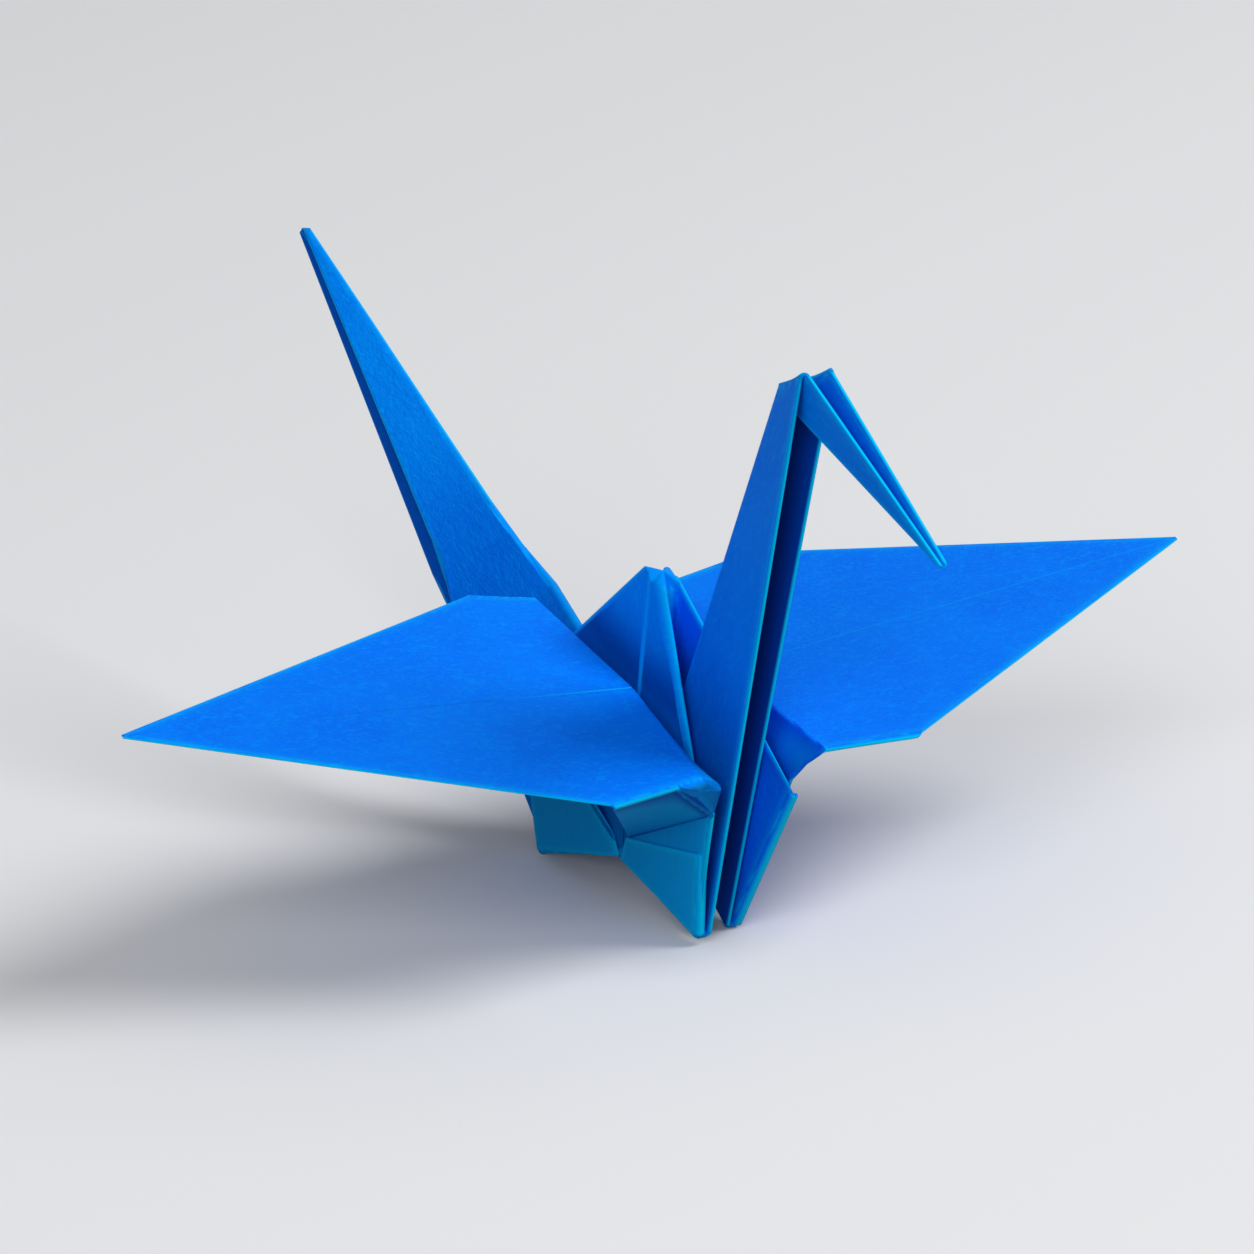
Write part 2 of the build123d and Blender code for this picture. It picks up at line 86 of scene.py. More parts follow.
wings = {
    "riseRight": 4.9,  # degrees that each tip is lifted
    "riseLeft": 3.6,
    "leanRight": 14.8,  # degrees that the front edge hangs below the back edge
    "leanLeft": 7.8,
    "sweep": 3.1,
    "overhang": 1.4,  # the wing reaches this much further in than the flank
    "tipRight": 0.5,  # each tip reaches this much past the even fold
    "tipLeft": 0.9,
}

neck = {
    "root": (-4.1, 9.2),  # forward and up
    "headSpine": (17.6, 60.3),
    "beakSpine": (16.7, 59.0),
    "headRim": (23.4, 63.4),
    "beakTip": (47.6, 50.8),
    "rootHalf": 0.62,
    "footHalf": 1.98,
    "headSpineHalf": 0.92,
    "headRimHalf": 2.0,
    "beakHalf": 0.9,
}

tail = {
    "root": (1.5, 13.3),  # back and up
    "tip": (82.0, 49.0),
    "free": 55.0,
    "slopeRight": 0.151,
    "slopeLeft": 0.193,
    "rollRight": 60.0,
    "rollLeft": 32.0,
    "half": 0.5,
    "under": 0.7,  # the left half hangs this much below the right one
}

halfDiagonal = sheet["squareSide"] / np.sqrt(2)


def mix(a, b, t):
    return a + (b - a) * t


def unit(v):
    return v / np.linalg.norm(v)


def unitRows(rows):
    return rows / np.maximum(np.linalg.norm(rows, axis=1, keepdims=True), 1e-12)


def spot(*values):
    return np.array(values, dtype=float)


def rimAt(y):
    return sheet["narrowing"] * (y + 1)


# Crease points of the flat folded sheet, in half diagonals: across from the middle line, and up.
# C crown, A wing tip, B tip of beak or tail, M root of neck or tail, T foot, S end of a ridge of the hump,
# Sc middle of the hump, Q and M0 ends of the petal fold, R shoulder of the wing, Pf and Y ends of the flap's
# fold, Z its end on the wing, X1, X2 and Hc on the hinge with J1, J2 and Jc beside them on the wing,
# K0 and K1 ends of the crease of the head, V and W of the tail's twist.
tipY = np.sqrt(2) - 1
petalY = 1 / np.sqrt(2) - 1
shoulderY = (tipY * tipY - sheet["narrowing"]) / (sheet["narrowing"] + tipY)
ridgeU = sheet["narrowing"] / (1 + sheet["narrowing"])
flapY = np.sqrt(2 - np.sqrt(2)) - 1
hingeY = body["hingeLevel"]
innerHingeY = hingeY - wings["overhang"] / halfDiagonal
hingeShare = (hingeY - shoulderY) / (flapY - shoulderY)
backFoot = (rimAt(body["backFoot"]) + body["backFootSpread"], body["backFoot"])
flat = {
    "C": (0.0, 0.0),
    "S": (ridgeU, -ridgeU),
    "Pf": (sheet["flapGap"], flapY),
    "Q": (rimAt(petalY), petalY),
    "R": (rimAt(shoulderY), shoulderY),
    "X2": (rimAt(hingeY), hingeY),
    "Hc": (0.0, hingeY),
    "Jc": (0.0, innerHingeY),
    "J2": (0.16, innerHingeY),
    "M": (0.0, petalY),
    "M0": (0.0, petalY),
    "Sc": (0.0, -ridgeU),
    "Y": (rimAt(-0.135), -0.135),
    "X1": (mix(rimAt(shoulderY), sheet["flapGap"], hingeShare), hingeY),
    "J1": (0.112, innerHingeY),
    "K0": (0.0, -0.80),
    "K1": (rimAt(-0.78), -0.78),
    "V": (0.0, -0.5),
    "W": (rimAt(-0.5), -0.5),
    "B": (0.0, -1.0),
}
# The four quarters were not pressed alike: (side, forward) gives the crease points that lie elsewhere
shifted = {
    (-1, 1): {
        "S": (0.124, -0.222), "Q": (0.1225, petalY), "Pf": (0.009, -0.262), "T": (0.1235, body["frontFoot"]),
        "X2": (0.157, hingeY), "Y": (0.137, -0.172), "R": (0.173, -0.008), "J2": (0.1475, innerHingeY),
    },
    (-1, -1): {
        "S": (0.170, -0.180), "Q": (0.144, petalY), "Pf": (0.010, -0.276), "T": backFoot,
        "X2": (0.160, hingeY), "Y": (0.150, -0.175), "R": (0.167, -0.021), "J2": (0.153, -0.092),
    },
    (1, 1): {
        "S": (0.167, -0.149), "Q": (0.1145, petalY), "T": (0.1023, -0.3275),
        "R": (0.1846, -0.0196), "J2": (0.1644, innerHingeY),
    },
    (1, -1): {
        "S": (ridgeU - body["ridgeSetback"], -ridgeU), "T": backFoot,
        "R": (0.172, 0.036), "J2": (0.162, -0.100),
    },
}


def quarterSpot(name, side, forward):
    # Flat place of a crease point in one quarter of the sheet
    if name == "Z":
        rim = spot(*quarterSpot("R", side, forward))
        return mix(rim, spot(*quarterSpot("J2", side, forward)), body["pocketReach"])
    if name == "A":
        return 0.0, tipY + (wings["tipRight"] if side < 0 else wings["tipLeft"]) / halfDiagonal
    return shifted[(side, forward)].get(name, flat.get(name))


def flatSpot(name, side, forward):
    # Where a crease point lies on the flat sheet: the fibres follow this map
    u, y = quarterSpot(name, side, forward)
    return spot(u * forward, y) * halfDiagonal


def leaned(x, forward, up):
    # A point ahead of and above the middle of the hinges, after the body has turned forward about them
    turn = np.radians(body["pitch"])
    return spot(x, -forward * np.cos(turn) - up * np.sin(turn),
                body["hingeLift"] - forward * np.sin(turn) + up * np.cos(turn))


def flankSpot(side, forward, name, layer=0):
    # A flank leans in towards its foot and turns in towards the neck, and its layers lie further in
    u, y = quarterSpot(name, side, forward)
    taper, turn = np.radians(body["flankTaper"]), np.radians(body["flankTurn"])
    down = (hingeY - y) * halfDiagonal
    out = body["hingeHalf"] - down * np.sin(taper)
    out = out - forward * u * halfDiagonal * np.sin(turn)
    ahead = forward * u * halfDiagonal * np.cos(turn)
    place = leaned(side * out, ahead, -down * np.cos(taper))
    return place + spot(-side, 0, 0) * layer * sheet["flankPitch"]


def wingAxes(side):
    # Directions out along a wing, ahead over it and up from it
    rise = np.radians(wings["riseRight"] if side < 0 else wings["riseLeft"])
    lean = np.radians(wings["leanRight"] if side < 0 else wings["leanLeft"])
    sweep = np.radians(side * wings["sweep"])
    out = spot(side * np.cos(rise), -np.sin(rise) * np.sin(lean), np.sin(rise) * np.cos(lean))
    ahead = spot(0, -np.cos(lean), -np.sin(lean))
    turn = np.array([[np.cos(sweep), -np.sin(sweep), 0], [np.sin(sweep), np.cos(sweep), 0], [0, 0, 1]])
    out, ahead = turn @ out, turn @ ahead
    normal = unit(np.cross(out, ahead))
    return out, ahead, normal * np.sign(normal[2])


def wingSpot(side, forward, name, layer):
    # The wing lies flat in its own plane through the hinge
    out, ahead, normal = wingAxes(side)
    u, y = quarterSpot(name, side, forward)
    root = spot(side * body["hingeHalf"], 0, body["hingeLift"])
    place = root + out * (y - hingeY) * halfDiagonal + ahead * forward * u * halfDiagonal
    return place + normal * layer * sheet["flankPitch"]


def webSpot(side, forward, name, layer):
    # The flap goes straight from the flank to the front edge of the wing
    if name in ("Pf", "Y"):
        return flankSpot(side, forward, name, layer)
    return wingSpot(side, forward, name, layer - 2)


def tuckSpot(side, forward, name, layer):
    # The corner of the flap, pushed into the hinge
    outward = spot(side, 0, 0)
    if name == "X2":
        corner = wingSpot(side, forward, "J2", layer - 3)
        return corner + outward * body["pocketOut"] - spot(0, 0, body["pocketDepth"])
    if name == "Y":
        return flankSpot(side, forward, name, layer)
    return wingSpot(side, forward, name, layer - 2) - outward * body["pocketDepth"]


def crownSpot(side, forward):
    # Corner of the flat top of the hump, lower on the left and further ahead in front
    crown = spot(-body["crownRight"], body["crownBack"], body["crownLift"])
    if side > 0:
        crown = spot(body["crownLeft"], body["crownBack"], body["crownLift"] - body["crownFall"])
    if forward > 0:
        crown = crown - spot(0, body["ridgeAhead"], body["ridgeFall"])
    return crown


def humpSpot(side, forward, name):
    # The hump's faces go from the crown to the flank's sixth layer, with a dent down their middle
    if name == "C":
        return crownSpot(side, forward)
    dent = body["humpDent"] if name == "Sc" else 0
    return flankSpot(side, forward, name, 6) + spot(-side, 0, 0) * dent


def gussetSpot(side, forward, name):
    # The paper between the hump and the neck or tail
    if name == "C":
        x, y, z = crownSpot(side, forward)
        if forward < 0:
            return spot(x * body["gussetBackShare"], y + body["gussetBehind"], z)
        return spot(x * body["gussetFrontShare"], y - body["gussetAhead"], z - body["gussetFall"])
    if name == "M":
        ahead, up = neck["root"] if forward > 0 else (-tail["root"][0], tail["root"][1])
        return spot(side * (neck["rootHalf"] + sheet["neckPitch"]), -ahead, up)
    return flankSpot(side, forward, name, 7)


def neckSpot(region, side, name, layer):
    # Neck and head, whose halves stand a little apart
    step = spot(-side, 0, 0) * layer * sheet["neckPitch"]
    if name == "T":
        foot = flankSpot(side, 1, "T")
        return spot(side * neck["footHalf"], foot[1], foot[2]) + step
    half, (ahead, up) = {
        "M": (neck["rootHalf"], neck["root"]),
        "K0": (neck["headSpineHalf"], neck["beakSpine"] if region == "head" else neck["headSpine"]),
        "K1": (neck["headRimHalf"], neck["headRim"]),
        "B": (neck["beakHalf"], neck["beakTip"]),
    }[name]
    return spot(side * half, -ahead, up) + step


def tailAxes(side):
    # Directions along the tail, across one half of its blade and out from it
    axis = unit(spot(0, tail["tip"][0] - tail["root"][0], tail["tip"][1] - tail["root"][1]))
    hang = spot(0, axis[2], -axis[1])
    roll = np.radians(tail["rollRight"] if side < 0 else tail["rollLeft"])
    rim = hang * np.cos(roll) + spot(-1, 0, 0) * np.sin(roll)
    return axis, rim, unit(np.cross(axis, rim) * (1 if side < 0 else -1))


def tailSpot(side, name, layer):
    # The tail's base starts at the root and feet, and its blade rolls out from the twist V-W to the tip
    step = spot(-side, 0, 0) * layer * sheet["neckPitch"]
    if name == "M":
        return spot(side * neck["rootHalf"], *tail["root"]) + step
    if name == "T":
        return flankSpot(side, -1, "T", 7) + spot(-side, 0, 0) * sheet["neckPitch"] + step
    axis, rim, outward = tailAxes(side)
    tip = spot(0, *tail["tip"])
    spine = tip - axis * tail["free"]
    bed = outward * (tail["half"] - layer * sheet["neckPitch"])
    if side > 0 and name != "V":
        bed = bed + rim * tail["under"]
    if name == "V":
        return spine + bed
    if name == "W":
        slope = tail["slopeRight"] if side < 0 else tail["slopeLeft"]
        return spine + rim * slope * tail["free"] + bed
    return tip + bed


def creaseSpot(region, side, forward, name, layer):
    # Where a named crease point stands on one layer of one region of the crane
    if region in ("neck", "head"):
        return neckSpot(region, side, name, layer)
    if region == "tail":
        return tailSpot(side, name, layer)
    if region in ("hump", "gusset"):
        return {"hump": humpSpot, "gusset": gussetSpot}[region](side, forward, name)
    regionSpot = {"flank": flankSpot, "wing": wingSpot, "web": webSpot, "tuck": tuckSpot}[region]
    return regionSpot(side, forward, name, layer)


# Facets of one quarter of the sheet: region, layer, side shown outward, and corners.
# A corner is its crease point, with the name that the paper has there where the two differ.
bodyFacets = [
    ("flank", 0, 1, "S Pf N=M T2=T"),
    ("flank", 1, -1, "S Pf Q"),
    ("flank", 6, 1, "Sc S Q M0"),
    ("hump", 6, 1, "C S Sc"),
    ("gusset", 7, -1, "C S T2=T Ms=M"),
]
# Under the right wing the flap runs straight from the flank to the front edge, and its corner is tucked in
webbedFacets = [
    ("flank", 2, 1, "Q Pf Yw=Y"),
    ("flank", 3, -1, "Yf=Y Pf N=M T1=T"),
    ("flank", 4, 1, "H0=Hc X2f=X2 Yf=Y T1=T Mr=M"),
    ("flank", 5, -1, "Hc X2w=X2 Yw=Y Q M0"),
    ("web", 2, 1, "Yw=Y Pf R Zw=Z"),
    ("web", 3, -1, "Yf=Y Pf R Zf=Z"),
    ("tuck", 2, 1, "Yw=Y X2w=X2 Zw=Z"),
    ("tuck", 3, -1, "Yf=Y X2f=X2 Zf=Z"),
    ("wing", 2, -1, "H0=Jc X2f=J2 Zf=Z R A"),
    ("wing", 3, 1, "Hc=Jc X2w=J2 Zw=Z R A"),
]
# Under the left wing it is pressed flat against the wing
pressedFacets = [
    ("flank", 2, 1, "Q Pf X1 X2w=X2"),
    ("flank", 3, -1, "X2f=X2 X1 Pf T1=T"),
    ("flank", 3, -1, "T1=T Pf N=M"),
    ("flank", 4, 1, "H0=Hc X2f=X2 T1=T Mr=M"),
    ("flank", 5, -1, "Hc X2w=X2 Q M0"),
    ("wing", 0, -1, "X2w=J2 X1=J1 R"),
    ("wing", 1, 1, "X2f=J2 X1=J1 R"),
    ("wing", 2, -1, "H0=Jc X2f=J2 R A"),
    ("wing", 3, 1, "Hc=Jc X2w=J2 R A"),
]
neckFacets = [
    ("neck", 0, 1, "Ms=M T2=T K12=K1 K0"),
    ("neck", 1, -1, "Mr=M T1=T K11=K1 Kr=K0"),
    ("neck", 2, 1, "N=M T1=T K11=K1 Kn=K0"),
    ("neck", 3, -1, "N=M T2=T K12=K1 Kn=K0"),
    ("head", 4, 1, "Kn=K0 K12=K1 B"),
    ("head", 5, -1, "Kn=K0 K11=K1 B"),
    ("head", 6, 1, "Kr=K0 K11=K1 B"),
    ("head", 7, -1, "K0 K12=K1 B"),
]
tailFacets = [
    ("tail", 0, 1, "Ms=M T2=T K12=W K0=V"),
    ("tail", 1, -1, "Mr=M T1=T K11=W Kr=V"),
    ("tail", 2, 1, "N=M T1=T K11=W Kn=V"),
    ("tail", 3, -1, "N=M T2=T K12=W Kn=V"),
    ("tail", 0, 1, "K0=V K12=W B"),
    ("tail", 1, -1, "Kr=V K11=W B"),
    ("tail", 2, 1, "Kn=V K11=W B"),
    ("tail", 3, -1, "Kn=V K12=W B"),
]

# How far a facet ends before its crease, where the round of the fold begins
insets = {
    "hingeWing": 0.5,  # the soft bend takes this much of the wing
    "hingeFlank": 3.6,  # and this much of the flank
    "softTurn": 6.0,  # the twist between the tail's base and blade is spread over this much of both
    "flat": 0.12,
    "face": 0.15,
    "beak": 0.18,
    "flap": 0.2,
    "web": 0.3,
    "ridge": 0.35,
    "gusset": 0.5,
    "spine": 0.6,
    "deep": 0.8,
    "footPitches": 4,  # these five are counted in layer pitches
    "rimPitches": 3.5,
    "slimPitches": 1.6,
    "flapPitches": 1.5,
    "faintPitches": 0.7,
}
hingeCorners = {"Hc", "H0", "X1", "X2"}
rims = {"T2", "T1", "Q", "S", "R", "X2w", "X2f", "Yw", "Yf", "Zw", "Zf", "K12", "K11", "B"}
rawEdge = {"A", "H0", "Mr", "Kr", "B"}
feet, roots = {"T1", "T2"}, {"Mr", "N", "Ms"}


def bodyInset(pair):
    # Flank, hump and gusset: the outer rims go round all the layers, and the inner ones round a few
    if pair == {"C", "S"}:
        return insets["ridge"]
    if pair == {"C", "Ms"}:
        return insets["gusset"]
    if pair in ({"C", "Sc"}, {"Sc", "M0"}, {"Hc", "M0"}):
        return insets["face"]
    if pair == {"S", "Sc"}:
        return insets["deep"]
    if pair <= rawEdge:
        return insets["flat"]
    if pair & feet and pair & roots:
        return insets["footPitches"] * sheet["flankPitch"]
    if pair <= rims:
        return insets["rimPitches"] * sheet["flankPitch"]
    return insets["flapPitches" if pair == {"N", "Pf"} else "faintPitches"] * sheet["flankPitch"]


def neckInset(region, pair):
    # Neck, head and tail, in the same way
    if pair & feet and pair & roots:
        return insets["footPitches"] * sheet["flankPitch"]
    if pair & {"K12", "K11"} and pair & {"K0", "Kn", "Kr"}:
        return insets["softTurn"] if region == "tail" else insets["rimPitches"] * sheet["neckPitch"]
    if pair <= rims:
        return insets["slimPitches"] * sheet["neckPitch"]
    return insets["beak"] if region == "head" else insets["spine"]


def insetFor(region, pair):
    # The inset at a crease, from the names of its two ends
    if {name.rstrip("fw") for name in pair} <= hingeCorners:
        return insets["hingeWing"] if region == "wing" else insets["hingeFlank"]
    if pair in ({"Yw", "Zw"}, {"Yf", "Zf"}):
        return insets["web"] if region == "web" else insets["gusset"]
    if "Pf" in pair and pair & {"Yw", "Yf"}:
        return insets["flap"]
    if region == "tuck":
        return insets["web"]
    if region == "wing" and (pair == {"Hc", "A"} or pair <= rawEdge):
        return insets["flat"]
    if region in ("web", "wing"):
        return insets["flapPitches"] * sheet["flankPitch"]
    return bodyInset(pair) if region in ("flank", "hump", "gusset") else neckInset(region, pair)


def paperName(point, side, forward):
    # Crease points that quarters of the sheet share keep one name
    if point == "C":
        return "C"
    if point in ("Sc", "M0", "Hc", "A"):
        return point + ("r" if side < 0 else "l")
    if point in ("Ms", "K0", "B"):
        return point + ("f" if forward > 0 else "b")
    return point + ("r" if side < 0 else "l") + ("f" if forward > 0 else "b")


def outwardOf(region, side, isBase):
    # Roughly where the outer side of a region faces
    if region == "wing":
        return wingAxes(side)[2]
    if region == "web":
        return spot(side, -0.3, -1)
    if region == "tuck":
        return spot(-side, -0.3, -0.3)
    if region == "tail":
        return tailAxes(side)[2] + (spot(side, 0, 0) if isBase else 0)
    return spot(side, 0, 0)


def pulledIn(points, normal, depths):
    # Corners of a flat outline after edge i, from corner i to the next, has moved in by depths[i]. With the
    # inward normals n and m and the depths p and q of the edges before and after a corner, and c = n.m,
    # the corner moves by (n (p - q c) + m (q - p c)) / (1 - c^2), or by n (p + q) / 2 where it is straight.
    after = unitRows(np.cross(normal, unitRows(np.roll(points, -1, axis=0) - points)))
    before = np.roll(after, 1, axis=0)
    q = depths[:, None]
    p = np.roll(q, 1, axis=0)
    c = (before * after).sum(axis=1, keepdims=True)
    share = np.maximum(1 - c * c, 0.02)
    bent = before * (p - q * c) / share + after * (q - p * c) / share
    return points + np.where(c > 0.98, before * (p + q) / 2, bent)


def cutFacet(region, layer, shown, corners, side, forward):
    # One flat piece of paper between creases, pulled back from each of them
    names = [part.split("=")[0] for part in corners.split()]
    places = [part.split("=")[-1] for part in corners.split()]
    points = np.array([creaseSpot(region, side, forward, place, layer) for place in places])
    fibres = np.array([flatSpot(place, side, forward) for place in places])
    normal = unit(np.cross(points, np.roll(points, -1, axis=0)).sum(axis=0))
    if np.dot(normal, outwardOf(region, side, places[0] == "M")) * shown < 0:
        points, fibres, normal, names = points[::-1], fibres[::-1], -normal, names[::-1]
    depths = np.array([insetFor(region, {name, after}) for name, after in zip(names, names[1:] + names[:1])])
    inner = pulledIn(points, normal, depths)
    # the straight map from places in space to places on the flat sheet
    toFlat = np.linalg.lstsq(np.c_[points, np.ones(len(names))], fibres, rcond=None)[0]
    return {
        "region": region,
        "layer": layer,
        "side": side,
        "names": [paperName(name, side, forward) for name in names],
        "plain": [name if name == "Pf" else name.rstrip("fw") for name in names],
        "points": inner,
        "flat": np.c_[inner, np.ones(len(names))] @ toFlat,
        "normal": normal,
    }


facets = []
for side, flapFacets in ((-1, webbedFacets), (1, pressedFacets)):
    for forward, endFacets in ((1, neckFacets), (-1, tailFacets)):
        facets += [cutFacet(*row, side, forward) for row in bodyFacets + flapFacets + endFacets]
print("facets laid out:", len(facets))

# Each crease, with the facets that meet there and the number of their edge
creases = {}
for number, facet in enumerate(facets):
    names = facet["names"]
    for i, pair in enumerate(zip(names, names[1:] + names[:1])):
        creases.setdefault(frozenset(pair), []).append((number, i))

# Look of the paper from place to place. Depths run from 0 to 1, and reaches are in millimetres. The finish
# of a point says how far it is painted pale on a fold, as wear and painted highlight, how crinkled it is, how
# much painted tint for bounce light or shade it has, and how much painted shade it has, in a pleat or
# elsewhere.
finishAndLightNames = ("fold", "crinkle", "paintedTint", "paintedShade")
regionLook = {  # crinkle, painted tint toward a greener blue for bounce light (below 0 a purer, deeper blue for shade), and painted shade of the outer layers
    "web": (0.15, 1.0, 0.15),
    "tuck": (0.15, 0.9, 0.45),
    "wing": (0.35, 0.0, 0.0),
    "flank": (0.15, 1.0, 0.0),
    "hump": (0.3, 0.25, 0.0),
    "gusset": (0.3, -0.6, 0.0),
    "neck": (0.12, 0.1, 0.0),
    "head": (0.12, 0.15, 0.0),
    "tail": (1.0, 0.0, 0.0),
}
outerLayers = {"flank": 0, "neck": 0, "tail": 0, "head": 4}  # layers past this one lie inside a pleat
# painted shade of the layers inside a pleat, by region or by region and layer, where it isn't 1
pleatShade = {("flank", 2): 0.1, ("flank", 3): 0.2, ("flank", 4): 0.6, "tail": 0.8, "head": 0.35}
edgeShade = {  # the two ends of an edge, and the reach and depth of the painted shade beside it
    "web": [("R", "Z", 2.0, 0.8), ("Y", "Z", 0.8, 0.95), ("Pf", "Y", 0.3, 0.9)],
    "neck": [("Ms", "T2", 15.0, 0.9)],
    "gusset": [("T2", "Ms", 5.0, 0.4)],
    "hump": [("S", "Sc", 7.0, 0.85)],
}
wingShade = {"hump": (3.5, 0.95), "neck": (6.0, 0.6), "gusset": (3.0, 0.5)}  # reach and depth of the painted shade above the wing
creaseWearAndHighlight = {  # how far a crease is painted pale, as wear and highlight, where it isn't 1
    ("Y", "Z"): 0.0,
    ("Pf", "Y"): 0.0,
    ("X2", "Z"): 0.1,
    ("X2", "Y"): 0.1,
    ("C", "Sc"): 0.25,
    ("M0", "Sc"): 0.25,
    ("A", "Hc"): 0.25,
    ("K0", "Ms"): 0.3,
    ("C", "S"): 0.6,
}
# Wear and painted light: pale folds as wear and painted highlight, painted shade, and painted tints
wearAndPaintedLight = {
    "hinge": 0.2,
    "cap": 0.25,
    "tip": 0.3,
    "tipShade": 0.3,
    "rim": 0.45,  # painted pale as wear and highlight on the flat of a facet beside a crease, falling off over the reach
    "tailRim": 0.2,
    "rimReach": 0.25,
    "shadeLimit": 0.5,  # a facet in more painted shade has no such wear and highlight
    "tuckShade": 0.4,
    "farFlankPaintedTint": -0.7,
    "farHingePaintedTint": -0.9,
    "farHingeShade": 0.5,
    "tail": 0.12,  # painted pale on the whole blade, as wear and highlight, less in its painted shade
    "tailLoss": 0.3,
    "tailShade": 0.38,  # the base gets this much painted shade, which fades over the blade
    "tailReach": 14.0,
    "wingPale": 0.7,  # middle crease of the near wing, painted highlight by the body from this share of its length
    "wingPaleFrom": 0.5,
    "wingPaleSlope": 3,
    "wingDark": 0.6,  # and painted shade about this share, with this reach
    "wingDarkAt": 0.4,
    "wingDarkReach": 0.15,
}


def edgeEnds(facet, key, i):
    # What one of a facet's lists says of the two ends of its edge i
    return facet[key][i], facet[key][(i + 1) % len(facet[key])]


def atLeast(finishAndLight, channel, values):
    # Raises one channel of a finish to the values, where they are higher
    column = finishAndLightNames.index(channel)
    finishAndLight[..., column] = np.maximum(finishAndLight[..., column], values)


def finishAndLightAt(facet):
    # Finish and painted light of a facet before its edges are seen to: crinkle, painted tint and painted
    # shade
    region, layer = facet["region"], facet["layer"]
    crinkle, paintedTint, shade = regionLook[region]
    # the far flank is painted a purer blue, a tint for its light
    if region == "flank" and facet["side"] > 0:
        paintedTint = wearAndPaintedLight["farFlankPaintedTint"]
    if layer > outerLayers.get(region, layer):
        shade = pleatShade.get((region, layer), pleatShade.get(region, 1.0))
    return np.array([0.0, crinkle, paintedTint, shade])


def wearAndHighlightOf(pair):
    # How far a crease is painted pale, as wear and highlight
    return wearAndPaintedLight["hinge"] if set(pair) <= hingeCorners else creaseWearAndHighlight.get(tuple(sorted(pair)), 1.0)


def isTwist(one, two):
    # Whether two facets are base and blade of one layer of the tail
    return one["region"] == "tail" and all(one[key] == two[key] for key in ("region", "layer", "side"))


def tailShade(points):
    # Painted shade: depth * e^(-((free - d) / reach)^2) with d from the tail's tip, and full beyond the free
    # blade
    apart = np.linalg.norm(points - spot(0, *tail["tip"]), axis=-1)
    return wearAndPaintedLight["tailShade"] * np.exp(-(np.maximum(tail["free"] - apart, 0) / wearAndPaintedLight["tailReach"]) ** 2)


def tailWearAndLight(points):
    # Painted pale evenly, as wear and highlight, less a share of the tail's painted shade
    return wearAndPaintedLight["tail"] - wearAndPaintedLight["tailLoss"] * tailShade(points)


def fromLine(points, start, end):
    # Distance of each point from the line through start and end
    along = unit(end - start)
    apart = points - start
    return np.linalg.norm(apart - (apart @ along)[..., None] * along, axis=-1)


def hasWornLitRim(facet, key, pair):
    # Whether the flat of a facet is painted pale, as wear and highlight, beside one of its creases
    users = [facets[number] for number, edge in creases[key]]
    if len(users) != 2 or isTwist(*users) or facet["region"] == "web":
        return False
    return wearAndHighlightOf(pair) == 1 and finishAndLightAt(facet)[3] < wearAndPaintedLight["shadeLimit"]


def shadedFinish(facet, points):
    # Finish and painted light over a facet. At the distance d from an edge or from the plane of the wing,
    # painted shade is depth * e^(-(d / reach)^2), and wear with painted highlight is depth * e^(-d / reach).
    # The strongest of them holds.
    finishAndLight = np.broadcast_to(finishAndLightAt(facet), points.shape[:2] + (4,)).copy()
    region, side, layer = facet["region"], facet["side"], facet["layer"]
    isShaded = region != "neck" or layer == 0
    if region in wingShade and isShaded:
        reach, depth = wingShade[region]
        above = (points - wingSpot(side, 1, "Jc", 3)) @ wingAxes(side)[2]
        atLeast(finishAndLight, "paintedShade", depth * np.exp(-(above / reach) ** 2))
    # the tail is painted pale toward its tip and painted shade toward its base
    if region == "tail":
        finishAndLight[..., 0] = tailWearAndLight(points) if layer == 0 else 0.0
        atLeast(finishAndLight, "paintedShade", tailShade(points))
    for i in range(len(facet["names"])):
        pair = edgeEnds(facet, "plain", i)
        start, end = edgeEnds(facet, "points", i)
        apart = fromLine(points, start, end)
        for first, last, reach, depth in edgeShade.get(region, []):
            if isShaded and set(pair) == {first, last}:
                atLeast(finishAndLight, "paintedShade", depth * np.exp(-(apart / reach) ** 2))
        if hasWornLitRim(facet, frozenset(edgeEnds(facet, "names", i)), pair):
            rimWearAndHighlight = wearAndPaintedLight["tailRim"] if region == "tail" else wearAndPaintedLight["rim"]
            atLeast(finishAndLight, "fold", rimWearAndHighlight * np.exp(-apart / wearAndPaintedLight["rimReach"]))
    return finishAndLight


# Patches of the middle surface: each is a grid of points with the same grid of other values
patches = []
spread = 0.5 - 0.5 * np.cos(np.pi * np.linspace(0, 1, sheet["cells"] + 1))  # cells narrow to both ends


def addPatch(points, fibres, finishAndLight):
    # A finish with its painted light may be one for the whole patch or one for each point
    rows, columns = points.shape[:2]
    finishAndLight = np.broadcast_to(finishAndLight, (rows, columns, len(finishAndLightNames)))
    patches.append(np.concatenate([points, fibres, finishAndLight], axis=2))


def alongEdge(corners, i):
    # Points along edge i. The last edge of a five-cornered facet faces two edges, so it has twice the points.
    a, b = corners[i], corners[(i + 1) % len(corners)]
    steps = spread
    if len(corners) == 5 and i == 4:
        first = np.linalg.norm(corners[2] - corners[1])
        share = first / (first + np.linalg.norm(corners[3] - corners[2]))
        steps = 1 - np.r_[spread * share, share + spread[1:] * (1 - share)][::-1]
    return mix(a, b, steps[:, None])


